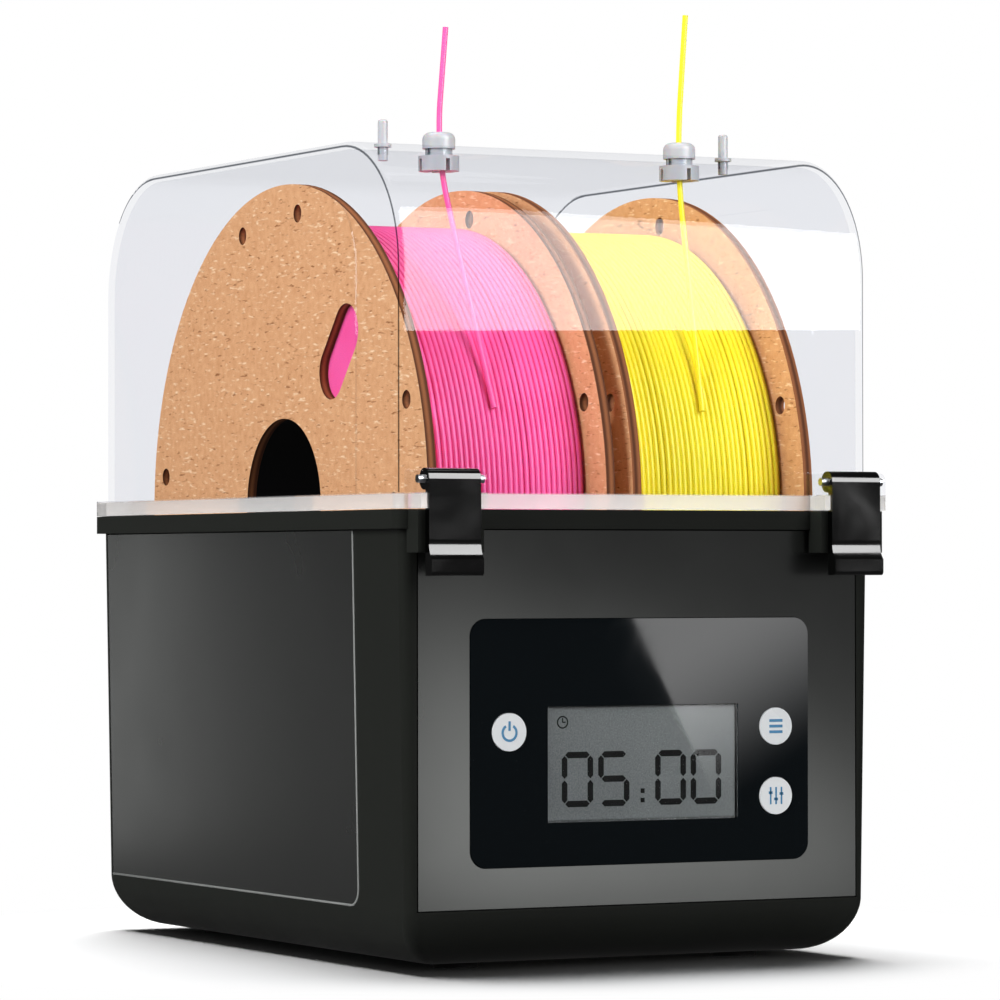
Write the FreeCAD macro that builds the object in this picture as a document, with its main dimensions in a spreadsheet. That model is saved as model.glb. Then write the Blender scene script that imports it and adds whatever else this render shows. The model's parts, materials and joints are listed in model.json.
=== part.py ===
"""Filament dryer box: vented lower tub, hinged clear lid with two snap latches, two spools on rollers.

Millimetres, +Z up, front towards -Y. The origin is on the table under the middle of the tub.
"""
import FreeCAD, Part
import math
import os
import re

OUT = "parts"
V = FreeCAD.Vector

doc = FreeCAD.newDocument("filament_dryer_box")
dims = doc.addObject("Spreadsheet::Sheet", "dims")

# Driving dimensions, in millimetres unless the name says degrees or count
SIZES = {
    # lower tub
    "body_width": 160.0, "body_depth": 221.0, "base_height": 136.0, "foot_height": 2.0,
    "side_draft": 2.4, "tub_wall": 2.6, "tub_floor": 2.6, "bottom_round": 16.0, "corner_round": 3.0,
    "flange_reach": 2.4, "flange_height": 5.6, "flange_round": 4.0,
    "foot_radius": 7.0, "foot_from_side": 32.0, "foot_from_end": 28.5, "cut_over": 1.0,
    # sunk panels on the tub
    "panel_depth": 1.2, "panel_gap": 0.4, "panel_low": 18.8, "side_panel_front": 33.0, "panel_round": 5.0,
    "panel_rear": 4.0,
    # seal between the two flanges
    "seal_width": 1.6, "seal_groove": 1.4, "seal_inset": 0.5, "seal_room": 0.1, "seal_proud": 0.1,
    # clear lid
    "lid_side_inset": 0.5, "lid_end_inset": 1.5, "lid_head_room": 7.6, "lid_wall": 2.2, "lid_round": 39.0,
    "lid_edge_round": 1.8, "lid_flange_height": 4.8, "lid_gap": 0.2, "lid_step": 0.7, "lid_step_top": 14.0,
    "lid_step_front": 30.3, "lid_step_round": 24.0,
    # lid hinge at the back
    "hinge_from_side": 32.0, "hinge_radius": 5.25, "hinge_pin_radius": 1.5, "hinge_clear": 0.3,
    "lid_knuckle": 10.0, "base_knuckle": 10.0, "pin_clear": 0.06, "web_root": 1.0,
    # snap latches on the front
    "latch_from_side": 11.8, "latch_width": 17.0, "latch_pin_up": 8.6, "latch_out": 5.8, "latch_knuckle": 3.2,
    "latch_pin_radius": 1.2, "latch_plate": 2.4, "latch_foot_drop": 19.4, "latch_lip": 1.8,
    "latch_lip_tall": 9.4, "latch_lip_round": 1.2, "latch_scoop": 6.5, "latch_scoop_deep": 0.1,
    "latch_scoop_drop": 10.0,
    "lug_thick": 2.0, "lug_gap": 0.3, "lug_round": 2.6, "catch_height": 12.6, "catch_gap": 0.3,
    # display and buttons on the front
    "bezel_width": 115.0, "bezel_height": 73.0, "bezel_z": 67.3, "bezel_thick": 2.2, "bezel_proud": 0.5,
    "bezel_round": 5.0, "bezel_gap": 0.2, "window_width": 65.0, "window_height": 34.4, "window_z": 60.8,
    "window_x": 0.5, "window_gap": 0.2, "glass_thick": 1.2, "glass_sunk": 0.1,
    "lcd_width": 72.0, "lcd_height": 40.0, "lcd_thick": 3.0, "lcd_edge": 0.6, "lcd_gap": 0.1,
    "button_radius": 5.6, "button_gap": 0.2, "button_proud": 0.4, "button_deep": 3.6, "switch_side": 6.0,
    "switch_tall": 1.0, "power_x": 45.0, "power_z": 70.6, "mode_x": 46.0, "mode_z": 71.0, "set_z": 50.0,
    "board_width": 112.0, "board_low": 33.0, "board_high": 93.0, "board_thick": 1.6, "standoff_radius": 2.6,
    "standoff_root": 0.6, "board_screw_radius": 1.05, "board_screw_clear": 0.1, "board_screw_in": 1.6,
    "board_screw_head": 2.0,
    "board_screw_head_tall": 1.2, "display_hole_width": 107.0, "display_hole_margin": 7.0,
    # spools
    "spool_end_room": 10.5, "spool_side_room": 14.0, "spool_space": 6.0, "spool_rise": 38.6,
    "flange_thick": 3.0, "hub_radius": 27.0, "core_radius": 40.0, "wound_drop": 12.0, "filament": 1.75,
    "wound_gap": 0.3, "core_gap": 0.1, "flange_hole": 2.8, "flange_hole_drop": 9.0, "hole_pair_degrees": 13.0,
    "hole_turn_degrees": 83.5, "slot_low": 53.0, "slot_high": 69.0, "slot_radius": 8.4,
    "slot_turn_degrees": 130.5, "turn_count": 24.0,
    # rollers that carry the spools
    "roller_radius": 7.0, "roller_gap": 0.3, "axle_radius": 2.5, "axle_clear": 0.05, "axle_end_gap": 1.4,
    "post_thick": 3.0, "post_width": 16.0, "post_above": 6.0, "post_foot_width": 12.0, "post_foot_tall": 8.0,
    "saddle_thick": 6.3, "saddle_sink": 0.97, "saddle_low": 26.0, "roller_end_gap": 0.5,
    # curved liner under the spools, with its air slots
    "liner_room": 5.6, "liner_thick": 2.2, "liner_side_gap": 0.7, "liner_top_drop": 7.0,
    "grille_half": 38.0, "shield_front": 66.0, "leg_x": 58.0, "leg_thick": 2.0, "leg_half": 34.0,
    "air_slot": 3.2, "air_slot_pitch": 9.0, "air_slot_long": 44.0,
    # fan and heater
    "fan_side": 60.0, "fan_deep": 10.0, "fan_bore": 27.5, "fan_hub": 11.0, "fan_hub_tall": 6.8,
    "fan_rise": 2.2, "blade_thick": 1.4, "blade_tip": 26.5, "blade_root": 9.0, "blade_chord": 8.0,
    "blade_tilt_degrees": 35.0, "spider_wide": 4.0, "spider_tall": 1.6, "spider_root": 1.0,
    "fan_pin_radius": 1.5, "fan_pin_short": 1.0, "fan_pin_gap": 0.2,
    "heater_long": 54.0, "heater_wide": 46.0, "heater_tall": 12.0, "fin_gap": 2.2, "fin_pitch": 4.4,
    "fin_long": 38.0,
    # vents, inlet, sensor and screws
    "vent_slot": 2.4, "vent_pitch": 6.0, "vent_long": 40.0, "vent_z": 26.0, "vent_x": 30.0,
    "inlet_x": 52.0, "inlet_z": 25.0, "inlet_side": 11.0, "inlet_deep": 12.0, "inlet_bore": 3.2,
    "inlet_bore_deep": 9.0, "inlet_pin": 1.0, "inlet_pin_root": 1.0, "inlet_gap": 0.2,
    "sensor_thick": 3.0, "sensor_wide": 14.0, "sensor_tall": 18.0, "sensor_drop": 32.0,
    "screw_radius": 1.5, "screw_clear": 0.1, "screw_head": 2.8, "screw_head_tall": 1.2, "screw_long": 8.0,
    "screw_end_gap": 0.4,
    # filament outlets on top
    "outlet_from_side": 37.5, "outlet_from_front": 49.0, "outlet_bore": 2.4, "outlet_neck": 4.0,
    "outlet_clear": 0.1,
    "outlet_cap": 5.0, "outlet_cap_tall": 5.0, "outlet_cap_round": 2.2, "outlet_collar": 6.2,
    "outlet_collar_tall": 4.6, "outlet_slit": 1.4,
    "stopper_from_side": 20.0, "stopper_from_front": 52.0, "stopper_radius": 1.5, "stopper_tall": 8.5,
    "stopper_skirt": 2.6, "stopper_skirt_tall": 1.0, "stopper_clear": 0.1, "stopper_in": 4.0,
    "stopper_round": 0.8,
    # filament strands from the spools out through the outlets
    "strand_lead": 6.0, "strand_gap": 0.3, "strand_corner_drop": 0.6, "strand_bow": 1.7,
    "strand_lean_x": 2.8, "strand_lean_y": 0.8, "left_strand_up": 37.3, "right_strand_up": 45.1,
}

# Dimensions that follow from those, kept in the sheet as formulas
FOLLOWS = {
    "foot_x": "body_width / 2 - foot_from_side",
    "foot_y": "body_depth / 2 - foot_from_end",
    "hinge_x": "body_width / 2 - hinge_from_side",
    "latch_x": "body_width / 2 - latch_from_side",
    "latch_foot": "base_height - latch_foot_drop",
    "latch_scoop_z": "base_height - latch_scoop_drop",
    "sensor_z": "base_height - sensor_drop",
    "spool_radius": "body_depth / 2 - spool_end_room",
    "spool_width": "(body_width - spool_space) / 2 - spool_side_room",
    "spool_z": "spool_radius + spool_rise",
    "wound_radius": "spool_radius - wound_drop",
    "flange_hole_at": "spool_radius - flange_hole_drop",
    "roller_y": "0.52 * spool_radius",
    "liner_radius": "spool_radius + liner_room",
    "lid_width": "body_width - 2 * lid_side_inset",
    "lid_depth": "body_depth - 2 * lid_end_inset",
    "lid_height": "spool_z + spool_radius + lid_head_room - base_height - lid_gap",
    "lid_top": "base_height + lid_gap + lid_height",
    "outlet_x": "lid_width / 2 - outlet_from_side",
    "outlet_y": "lid_depth / 2 - outlet_from_front",
    "stopper_x": "lid_width / 2 - stopper_from_side",
    "stopper_y": "lid_depth / 2 - stopper_from_front",
    "strand_x": "outlet_x - strand_lead",
}
for row, (name, value) in enumerate({**SIZES, **FOLLOWS}.items(), start=1):
    dims.set(f"A{row}", name)
    dims.set(f"B{row}", f"={value}")
    dims.setAlias(f"B{row}", name)
doc.recompute()


def bound(text):
    """A sum written with the sheet's names, as an expression that reads the sheet."""
    def in_sheet(word):
        known = word.group() in SIZES or word.group() in FOLLOWS
        return "dims." + word.group() if known else word.group()
    return re.sub(r"[a-z]\w*", in_sheet, str(text))


def size(text):
    """The number that such a sum has now."""
    return float(dims.evalExpression(str(text)))


TURN_TO = {"x": FreeCAD.Rotation(V(0, 1, 0), 90), "y": FreeCAD.Rotation(V(1, 0, 0), -90),
           "z": FreeCAD.Rotation()}
NODES = []


class Piece:
    """One physical piece: forms that are added and forms that are cut away, all bound to the sheet."""

    def __init__(self, label):
        self.label = label
        self.added = []
        self.removed = []

    def form(self, kind, sizes, at, turn, cut):
        made = doc.addObject(f"Part::{kind}", f"{self.label}_{kind.lower()}")
        for key, text in sizes.items():
            made.setExpression(key, bound(text))
        made.Placement = FreeCAD.Placement(V(), turn)
        for axis, text in zip("xyz", at):
            made.setExpression(f"Placement.Base.{axis}", bound(text))
        self.keep(made, cut)
        return self

    def keep(self, made, cut=False):
        (self.removed if cut else self.added).append(made)

    def box(self, low, span, cut=False, turn=FreeCAD.Rotation()):
        """A block from its lowest corner and its three sides."""
        return self.form("Box", {"Length": span[0], "Width": span[1], "Height": span[2]}, low, turn, cut)

    def mid_box(self, middle, span, cut=False):
        """A block centred in X and Y, from its lowest Z."""
        low = (f"{middle[0]} - ({span[0]}) / 2", f"{middle[1]} - ({span[1]}) / 2", middle[2])
        return self.box(low, span, cut)

    def rod(self, start, axis, long, radius, cut=False):
        """A round bar along +X, +Y or +Z."""
        return self.form("Cylinder", {"Radius": radius, "Height": long}, start, TURN_TO[axis], cut)

    def tapered(self, low, high, half_low, half_high, half_deep, cut=False):
        """A block whose sides lean: half widths at its foot and top, from one Z to another."""
        sizes = {"Ymin": low, "Ymax": high, "Xmin": f"-({half_low})", "Xmax": half_low,
                 "X2min": f"-({half_high})", "X2max": half_high, "Zmin": f"-({half_deep})", "Zmax": half_deep,
                 "Z2min": f"-({half_deep})", "Z2max": half_deep}
        return self.form("Wedge", sizes, ("0", "0", "0"), FreeCAD.Rotation(V(1, 0, 0), 90), cut)

    def rounded(self, radius, chosen, cut=False):
        """Rounds the edges that chosen(edge) picks on the form made last."""
        forms = self.removed if cut else self.added
        doc.recompute()
        base = forms.pop()
        edges = [n for n, e in enumerate(base.Shape.Edges, start=1) if chosen(e)]
        if not edges:
            raise RuntimeError(f"{self.label}: no edge to round")
        made = doc.addObject("Part::Fillet", f"{self.label}_round")
        made.Base = base
        made.Edges = [(n, size(radius), size(radius)) for n in edges]
        forms.append(made)
        return self

    def joined(self, forms, name):
        if len(forms) == 1:
            return forms[0]
        made = doc.addObject("Part::MultiFuse", name)
        made.Shapes = forms
        return made

    def staged(self):
        """Folds what was added and cut so far into one form, so that more can be added after the cuts."""
        whole = self.joined(self.added, f"{self.label}_joined")
        if self.removed:
            made = doc.addObject("Part::Cut", f"{self.label}_cut")
            made.Base = whole
            made.Tool = self.joined(self.removed, f"{self.label}_cutters")
            whole = made
        self.added = [whole]
        self.removed = []
        return whole

    def done(self):
        """The finished piece, under its node name."""
        made = self.staged()
        made.Label = self.label
        NODES.append(made)
        return made


def overlap(label, first, second):
    made = doc.addObject("Part::Common", label)
    made.Base = first
    made.Tool = second
    return made


def near(a, b):
    return abs(a - b) < 0.01


def along(edge, axis):
    """True for a straight edge along that axis."""
    if not isinstance(edge.Curve, Part.Line):
        return False
    return abs(getattr(edge.Curve.Direction, axis)) > 0.99


# Places used by several pieces
HALF_W = "body_width / 2"
HALF_D = "body_depth / 2"
RIM_Y = "(body_depth / 2 + flange_reach)"
HINGE_Y = f"{RIM_Y} + hinge_radius + hinge_clear"
HINGE_Z = "base_height + lid_gap / 2"
LATCH_Y = f"-({RIM_Y} + latch_out)"
LATCH_Z = "base_height + lid_gap + latch_pin_up"
FLOOR = "foot_height + tub_floor"
BEZEL_Y = f"-({HALF_D} + bezel_proud)"
BOARD_Y = f"{BEZEL_Y} + bezel_thick + lcd_thick"
BOARD_HOLE_X = "(board_width / 2 - standoff_radius)"
BOARD_HOLE_Z = ("board_low + standoff_radius", "board_high - standoff_radius")
REACH = "(spool_radius + roller_radius + roller_gap)"
AXLE_Z = f"spool_z - sqrt({REACH} * {REACH} - roller_y * roller_y)"
WOUND_WIDTH = "(spool_width - 2 * flange_thick)"
SIDES = {"left": -1, "right": 1}
ENDS = {"front": -1, "rear": 1}


def tub_half(z):
    """Half the tub's outer width at a height, with its draft."""
    return f"(body_width / 2 - side_draft * (base_height - ({z})) / (base_height - foot_height))"


SADDLE_END = f"({tub_half('saddle_low')} - tub_wall + saddle_sink)"
SADDLE_X = f"({SADDLE_END} - saddle_thick)"
AXLE_HALF = f"({SADDLE_END} - axle_end_gap)"
LINER_HALF = f"({tub_half('spool_z - liner_radius - liner_thick')} - tub_wall - liner_side_gap)"
SENSOR_X = f"({tub_half('sensor_z')} - tub_wall)"


def tub_form(piece, inset, cut=False):
    """The tub's outer form, drawn in by inset on its sides, front and back."""
    return piece.tapered("foot_height", "base_height", f"{tub_half('foot_height')} - {inset}",
                         f"{HALF_W} - {inset}", f"{HALF_D} - {inset}", cut)


def side_region(piece, side, grow):
    """A block over the sunk panel on one side of the tub, with its lower front corner rounded."""
    low = f"(panel_low - {grow})"
    front = f"(-({HALF_D}) + side_panel_front - {grow})"
    deep = "(2 * panel_depth + side_draft)"
    x = f"{HALF_W} + panel_depth - {deep}" if side > 0 else f"-({HALF_W} + panel_depth)"
    piece.box((x, front, low), (deep, f"{HALF_D} - panel_rear + {grow} - {front}",
                                f"base_height - flange_height - {low} - panel_gap + {grow}"))
    y, z = size(front), size(low)
    piece.rounded(f"panel_round + {grow}",
                  lambda e: along(e, "x") and near(e.BoundBox.YMin, y) and near(e.BoundBox.ZMin, z))


def bezel_form(piece, grow, deep, cut=False):
    """The display's rounded outline, from the bezel's front face back by deep."""
    piece.mid_box(("0", f"{BEZEL_Y} + ({deep}) / 2", f"bezel_z - bezel_height / 2 - {grow}"),
                  (f"bezel_width + 2 * {grow}", deep, f"bezel_height + 2 * {grow}"), cut)
    piece.rounded(f"bezel_round + {grow}", lambda e: along(e, "y"), cut)


def rim(piece, low, tall, cut=False):
    """The flange outline that the tub and the lid share."""
    piece.mid_box(("0", "0", low), ("body_width + 2 * flange_reach", f"2 * {RIM_Y}", tall), cut)
    piece.rounded("flange_round", lambda e: along(e, "z"), cut)


def hinge_knuckle(piece, start, long, low, tall):
    """One knuckle and the web that ties it to its flange."""
    piece.rod((start, HINGE_Y, HINGE_Z), "x", long, "hinge_radius")
    root = f"({RIM_Y} - web_root)"
    piece.box((start, root, low), (long, f"{HINGE_Y} - {root}", tall))


# Lower tub: drafted shell, rim, seal groove, recesses, vents, knuckles, catches, axle saddles, standoffs
foot_z = size("foot_height")
floor_z = size(FLOOR)
tub = Piece("base_tub")
tub_form(tub, "0")
tub.rounded("corner_round", lambda e: not along(e, "x") and not along(e, "y"))
tub.rounded("bottom_round", lambda e: near(e.BoundBox.ZMin, foot_z) and near(e.BoundBox.ZMax, foot_z))
rim(tub, "base_height - flange_height", "flange_height")
tub.tapered(FLOOR, "base_height + cut_over", f"{tub_half(FLOOR)} - tub_wall", f"{HALF_W} - tub_wall",
            f"{HALF_D} - tub_wall", True)
tub.rounded("bottom_round - tub_wall",
            lambda e: near(e.BoundBox.ZMin, floor_z) and near(e.BoundBox.ZMax, floor_z), True)
for side in SIDES.values():
    groove, low = "(seal_width + 2 * seal_room)", "base_height - seal_groove"
    tub.mid_box((f"{side} * (body_width / 2 + seal_inset - seal_width / 2)", "0", low),
                (groove, "body_depth + 2 * seal_inset + 2 * seal_room", "2 * seal_groove"), True)
    tub.mid_box(("0", f"{side} * (body_depth / 2 + seal_inset - seal_width / 2)", low),
                ("body_width + 2 * seal_inset + 2 * seal_room", groove, "2 * seal_groove"), True)
    recess = Piece("side_recess")
    side_region(recess, side, "panel_gap")
    tub_form(recess, "panel_depth", True)
    tub.keep(recess.staged(), True)
PANEL_WIDE = "(body_width - 2 * corner_round - 2 * side_draft)"
tub.mid_box(("0", f"-({HALF_D})", "panel_low - panel_gap"),
            (f"{PANEL_WIDE} + 2 * panel_gap", "2 * panel_depth",
             "base_height - flange_height - panel_low + panel_gap"), True)
bezel_form(tub, "bezel_gap", "bezel_thick", True)
tub.mid_box(("0", f"-({HALF_D})", "board_low + display_hole_margin"),
            ("display_hole_width", "4 * tub_wall", "board_high - board_low - 2 * display_hole_margin"), True)
for n in range(5):
    tub.mid_box(("-vent_x", HALF_D, f"vent_z + {n} * vent_pitch"),
                ("vent_long", "4 * tub_wall", "vent_slot"), True)
tub.mid_box(("inlet_x", HALF_D, "inlet_z - inlet_side / 2 - inlet_gap"),
            ("inlet_side + 2 * inlet_gap", "4 * tub_wall", "inlet_side + 2 * inlet_gap"), True)
for n in range(-3, 4):
    tub.mid_box((f"{n} * vent_pitch", "0", "foot_height - cut_over"),
                ("vent_slot", "vent_long", "tub_floor + 2 * cut_over"), True)
for end in ENDS.values():
    at = ("0", f"{end} * roller_y", "foot_height - cut_over")
    tub.rod(at, "z", "tub_floor + 2 * cut_over", "screw_radius + screw_clear", True)
    tub.rod(at, "z", "cut_over + screw_head_tall + screw_clear", "screw_head + screw_clear", True)
tub.staged()
for side in SIDES.values():
    for end in ENDS.values():
        middle = f"{side} * hinge_x + {end} * (lid_knuckle / 2 + hinge_clear + base_knuckle / 2)"
        start = f"{middle} - base_knuckle / 2"
        hinge_knuckle(tub, start, "base_knuckle", f"{HINGE_Z} - hinge_radius", "hinge_radius - lid_gap")
        x = SADDLE_X if side > 0 else f"-{SADDLE_END}"
        tub.box((x, f"{end} * roller_y - post_width / 2", "saddle_low"),
                ("saddle_thick", "post_width", f"{AXLE_Z} + post_above - saddle_low"))
        x = f"{SADDLE_X} - cut_over" if side > 0 else f"-({AXLE_HALF} + axle_clear)"
        slot = f"{AXLE_HALF} + axle_clear - {SADDLE_X} + cut_over"
        tub.rod((x, f"{end} * roller_y", AXLE_Z), "x", slot, "axle_radius + axle_clear", True)
        tub.box((x, f"{end} * roller_y - axle_radius - axle_clear", AXLE_Z),
                (slot, "2 * (axle_radius + axle_clear)", "2 * post_above"), True)
    tub.rod((f"{side} * hinge_x - lid_knuckle - base_knuckle", HINGE_Y, HINGE_Z), "x",
            "2 * lid_knuckle + 2 * base_knuckle", "hinge_pin_radius + pin_clear", True)
    out = "(latch_out + latch_knuckle - latch_plate - catch_gap)"
    tub.mid_box((f"{side} * latch_x", f"-{RIM_Y} - {out} / 2 + web_root / 2", "base_height - catch_height"),
                ("latch_width + 2 * lug_thick + 2 * lug_gap", f"{out} + web_root", "catch_height"))
    for z in BOARD_HOLE_Z:
        x = f"{side} * {BOARD_HOLE_X}"
        root = f"-({HALF_D}) + panel_depth + standoff_root"
        tub.rod((x, root, z), "y", f"{BOARD_Y} - ({root})", "standoff_radius")
        tub.rod((x, f"{BOARD_Y} - board_screw_in - board_screw_clear", z), "y", "board_screw_in + cut_over",
                "board_screw_radius + board_screw_clear", True)
tub.done()

# Sunk panels on the front and sides
front = Piece("front_panel")
front.mid_box(("0", f"-({HALF_D}) + panel_depth / 2", "panel_low"),
              (PANEL_WIDE, "panel_depth", "base_height - flange_height - panel_low - panel_gap"))
bezel_form(front, "bezel_gap", "bezel_thick", True)
front.done()
for name, side in SIDES.items():
    region = Piece(f"{name}_panel_region")
    side_region(region, side, "0")
    skin = Piece(f"{name}_panel_skin")
    tub_form(skin, "0")
    tub_form(skin, "panel_depth", True)
    panel = Piece(f"{name}_side_panel")
    panel.keep(overlap(f"{name}_panel_cut", region.staged(), skin.staged()))
    panel.done()

# Seal, feet, hinge pins
seal = Piece("lid_seal")
seal.mid_box(("0", "0", "base_height - seal_groove"),
             ("body_width + 2 * seal_inset", "body_depth + 2 * seal_inset", "seal_groove + seal_proud"))
seal.mid_box(("0", "0", "base_height - seal_groove - cut_over"),
             ("body_width + 2 * seal_inset - 2 * seal_width", "body_depth + 2 * seal_inset - 2 * seal_width",
              "seal_groove + seal_proud + 2 * cut_over"), True)
seal.done()
feet = Piece("feet")
for side in SIDES.values():
    for end in ENDS.values():
        feet.rod((f"{side} * foot_x", f"{end} * foot_y", "0"), "z", "foot_height", "foot_radius")
feet.done()
pins = Piece("hinge_pins")
for side in SIDES.values():
    pins.rod((f"{side} * hinge_x - lid_knuckle / 2 - hinge_clear - base_knuckle", HINGE_Y, HINGE_Z), "x",
             "lid_knuckle + 2 * hinge_clear + 2 * base_knuckle", "hinge_pin_radius")
pins.done()

# Rollers, their two axles and the middle posts
posts = Piece("roller_posts")
screws = Piece("post_screws")
for end in ENDS.values():
    y = f"{end} * roller_y"
    posts.mid_box(("0", y, FLOOR), ("post_thick", "post_width", f"{AXLE_Z} + post_above - ({FLOOR})"))
    posts.mid_box(("0", y, FLOOR), ("post_foot_width", "post_width", "post_foot_tall"))
    posts.rod(("-post_thick", y, AXLE_Z), "x", "2 * post_thick", "axle_radius + axle_clear", True)
    posts.box(("-post_thick", f"{y} - axle_radius - axle_clear", AXLE_Z),
              ("2 * post_thick", "2 * (axle_radius + axle_clear)", "2 * post_above"), True)
    posts.rod(("0", y, "foot_height"), "z", "screw_head_tall + screw_long + screw_end_gap",
              "screw_radius + screw_clear", True)
    screws.rod(("0", y, "foot_height"), "z", "screw_head_tall", "screw_head")
    screws.rod(("0", y, "foot_height"), "z", "screw_head_tall + screw_long", "screw_radius")
posts.done()
screws.done()
for end_name, end in ENDS.items():
    axle = Piece(f"{end_name}_axle")
    axle.rod((f"-{AXLE_HALF}", f"{end} * roller_y", AXLE_Z), "x", f"2 * {AXLE_HALF}", "axle_radius")
    axle.done()
    for name, side in SIDES.items():
        long = f"({SADDLE_X} - post_thick / 2 - 2 * roller_end_gap)"
        low = "post_thick / 2 + roller_end_gap"
        start = low if side > 0 else f"-({low} + {long})"
        roller = Piece(f"{name}_{end_name}_roller")
        roller.rod((start, f"{end} * roller_y", AXLE_Z), "x", long, "roller_radius")
        roller.rod((f"{start} - cut_over", f"{end} * roller_y", AXLE_Z), "x", f"{long} + 2 * cut_over",
                   "axle_radius + axle_clear", True)
        roller.done()


def curved_sheet(piece, low_y, wide_y):
    """Part of the half pipe under the spools, between two Y values and below the rim."""
    ring = Piece(f"{piece.label}_ring")
    ring.rod((f"-{LINER_HALF}", "0", "spool_z"), "x", f"2 * {LINER_HALF}", "liner_radius + liner_thick")
    ring.rod((f"-{LINER_HALF} - cut_over", "0", "spool_z"), "x", f"2 * ({LINER_HALF} + cut_over)",
             "liner_radius", True)
    room = Piece(f"{piece.label}_room")
    room.box((f"-{LINER_HALF}", low_y, "0"), (f"2 * {LINER_HALF}", wide_y, "base_height - liner_top_drop"))
    piece.keep(overlap(f"{piece.label}_sheet", ring.staged(), room.staged()))


# Curved liner: an air grille between the rollers and a shield in front of and behind them
grille = Piece("air_grille")
curved_sheet(grille, "-grille_half", "2 * grille_half")
for n in range(-6, 7):
    grille.mid_box((f"{n} * air_slot_pitch", "0", "foot_height"),
                   ("air_slot", "air_slot_long", "spool_z / 2"), True)
grille.staged()
for side in SIDES.values():
    leg = Piece("leg")
    leg.mid_box((f"{side} * leg_x", "0", FLOOR), ("leg_thick", "2 * leg_half", "spool_z - liner_radius"))
    leg.rod((f"{side} * leg_x - leg_thick", "0", "spool_z"), "x", "2 * leg_thick",
            "liner_radius + liner_thick / 2", True)
    grille.keep(leg.staged())
grille.done()
for end_name, end in ENDS.items():
    shield = Piece(f"{end_name}_shield")
    wide = "(liner_radius + liner_thick - shield_front)"
    curved_sheet(shield, "shield_front" if end > 0 else f"-(shield_front + {wide})", wide)
    shield.done()

# Fan and heater under the grille
frame = Piece("fan_frame")
frame.mid_box(("0", "0", FLOOR), ("fan_side", "fan_side", "fan_deep"))
frame.rod(("0", "0", "foot_height"), "z", "tub_floor + fan_deep + cut_over", "fan_bore", True)
frame.staged()
frame.mid_box(("0", "0", FLOOR), ("2 * (fan_bore + spider_root)", "spider_wide", "spider_tall"))
frame.mid_box(("0", "0", FLOOR), ("spider_wide", "2 * (fan_bore + spider_root)", "spider_tall"))
frame.rod(("0", "0", FLOOR), "z", "fan_rise + fan_hub_tall - fan_pin_short", "fan_pin_radius")
frame.done()
rotor = Piece("fan_rotor")
rotor.rod(("0", "0", f"{FLOOR} + fan_rise"), "z", "fan_hub_tall", "fan_hub")
BLADES = 7
for n in range(BLADES):
    a = n * 360 / BLADES
    tilt = size("blade_tilt_degrees")
    turn = FreeCAD.Rotation(V(0, 0, 1), a).multiply(FreeCAD.Rotation(V(1, 0, 0), tilt))
    back = f"(blade_chord / 2 * cos({tilt} deg) - blade_thick / 2 * sin({tilt} deg))"
    down = f"(blade_chord / 2 * sin({tilt} deg) + blade_thick / 2 * cos({tilt} deg))"
    at = (f"blade_root * cos({a} deg) + {back} * sin({a} deg)",
          f"blade_root * sin({a} deg) - {back} * cos({a} deg)",
          f"{FLOOR} + fan_rise + fan_hub_tall / 2 - {down}")
    rotor.box(at, ("blade_tip - blade_root", "blade_chord", "blade_thick"), turn=turn)
rotor.rod(("0", "0", FLOOR), "z", "fan_rise + fan_hub_tall - fan_pin_short + fan_pin_gap",
          "fan_pin_radius + axle_clear", True)
rotor.done()
heater = Piece("heater_core")
heater.mid_box(("0", "0", f"{FLOOR} + fan_deep"), ("heater_long", "heater_wide", "heater_tall"))
for n in range(-5, 6):
    heater.mid_box((f"{n} * fin_pitch", "0", FLOOR),
                   ("fin_gap", "fin_long", "fan_deep + heater_tall + cut_over"), True)
heater.done()

# Display, buttons and control board
BUTTONS = {"power_button": ("-power_x", "power_z"), "mode_button": ("mode_x", "mode_z"),
           "set_button": ("mode_x", "set_z")}
bezel = Piece("display_bezel")
bezel_form(bezel, "0", "bezel_thick")
bezel.mid_box(("window_x", BEZEL_Y, "window_z - window_height / 2"),
              ("window_width", "4 * bezel_thick", "window_height"), True)
for x, z in BUTTONS.values():
    bezel.rod((x, f"{BEZEL_Y} - cut_over", z), "y", "bezel_thick + 2 * cut_over",
              "button_radius + button_gap", True)
bezel.done()
glass = Piece("lcd_glass")
glass.box(("window_x - window_width / 2 + window_gap", f"{BEZEL_Y} + glass_sunk",
           "window_z - window_height / 2 + window_gap"),
          ("window_width - 2 * window_gap", "glass_thick", "window_height - 2 * window_gap"))
glass.done()
lcd = Piece("lcd_module")
lcd.mid_box(("window_x", f"{BEZEL_Y} + bezel_thick + lcd_thick / 2", "window_z - lcd_height / 2"),
            ("lcd_width", "lcd_thick", "lcd_height"))
lcd.box(("window_x - window_width / 2 + lcd_edge", f"{BEZEL_Y} + glass_sunk + glass_thick + lcd_gap",
         "window_z - window_height / 2 + lcd_edge"),
        ("window_width - 2 * lcd_edge", "bezel_thick - glass_sunk - glass_thick - lcd_gap + lcd_thick / 2",
         "window_height - 2 * lcd_edge"))
lcd.done()
board = Piece("control_board")
board.box(("-board_width / 2", BOARD_Y, "board_low"),
          ("board_width", "board_thick", "board_high - board_low"))
board_screws = Piece("board_screws")
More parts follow.
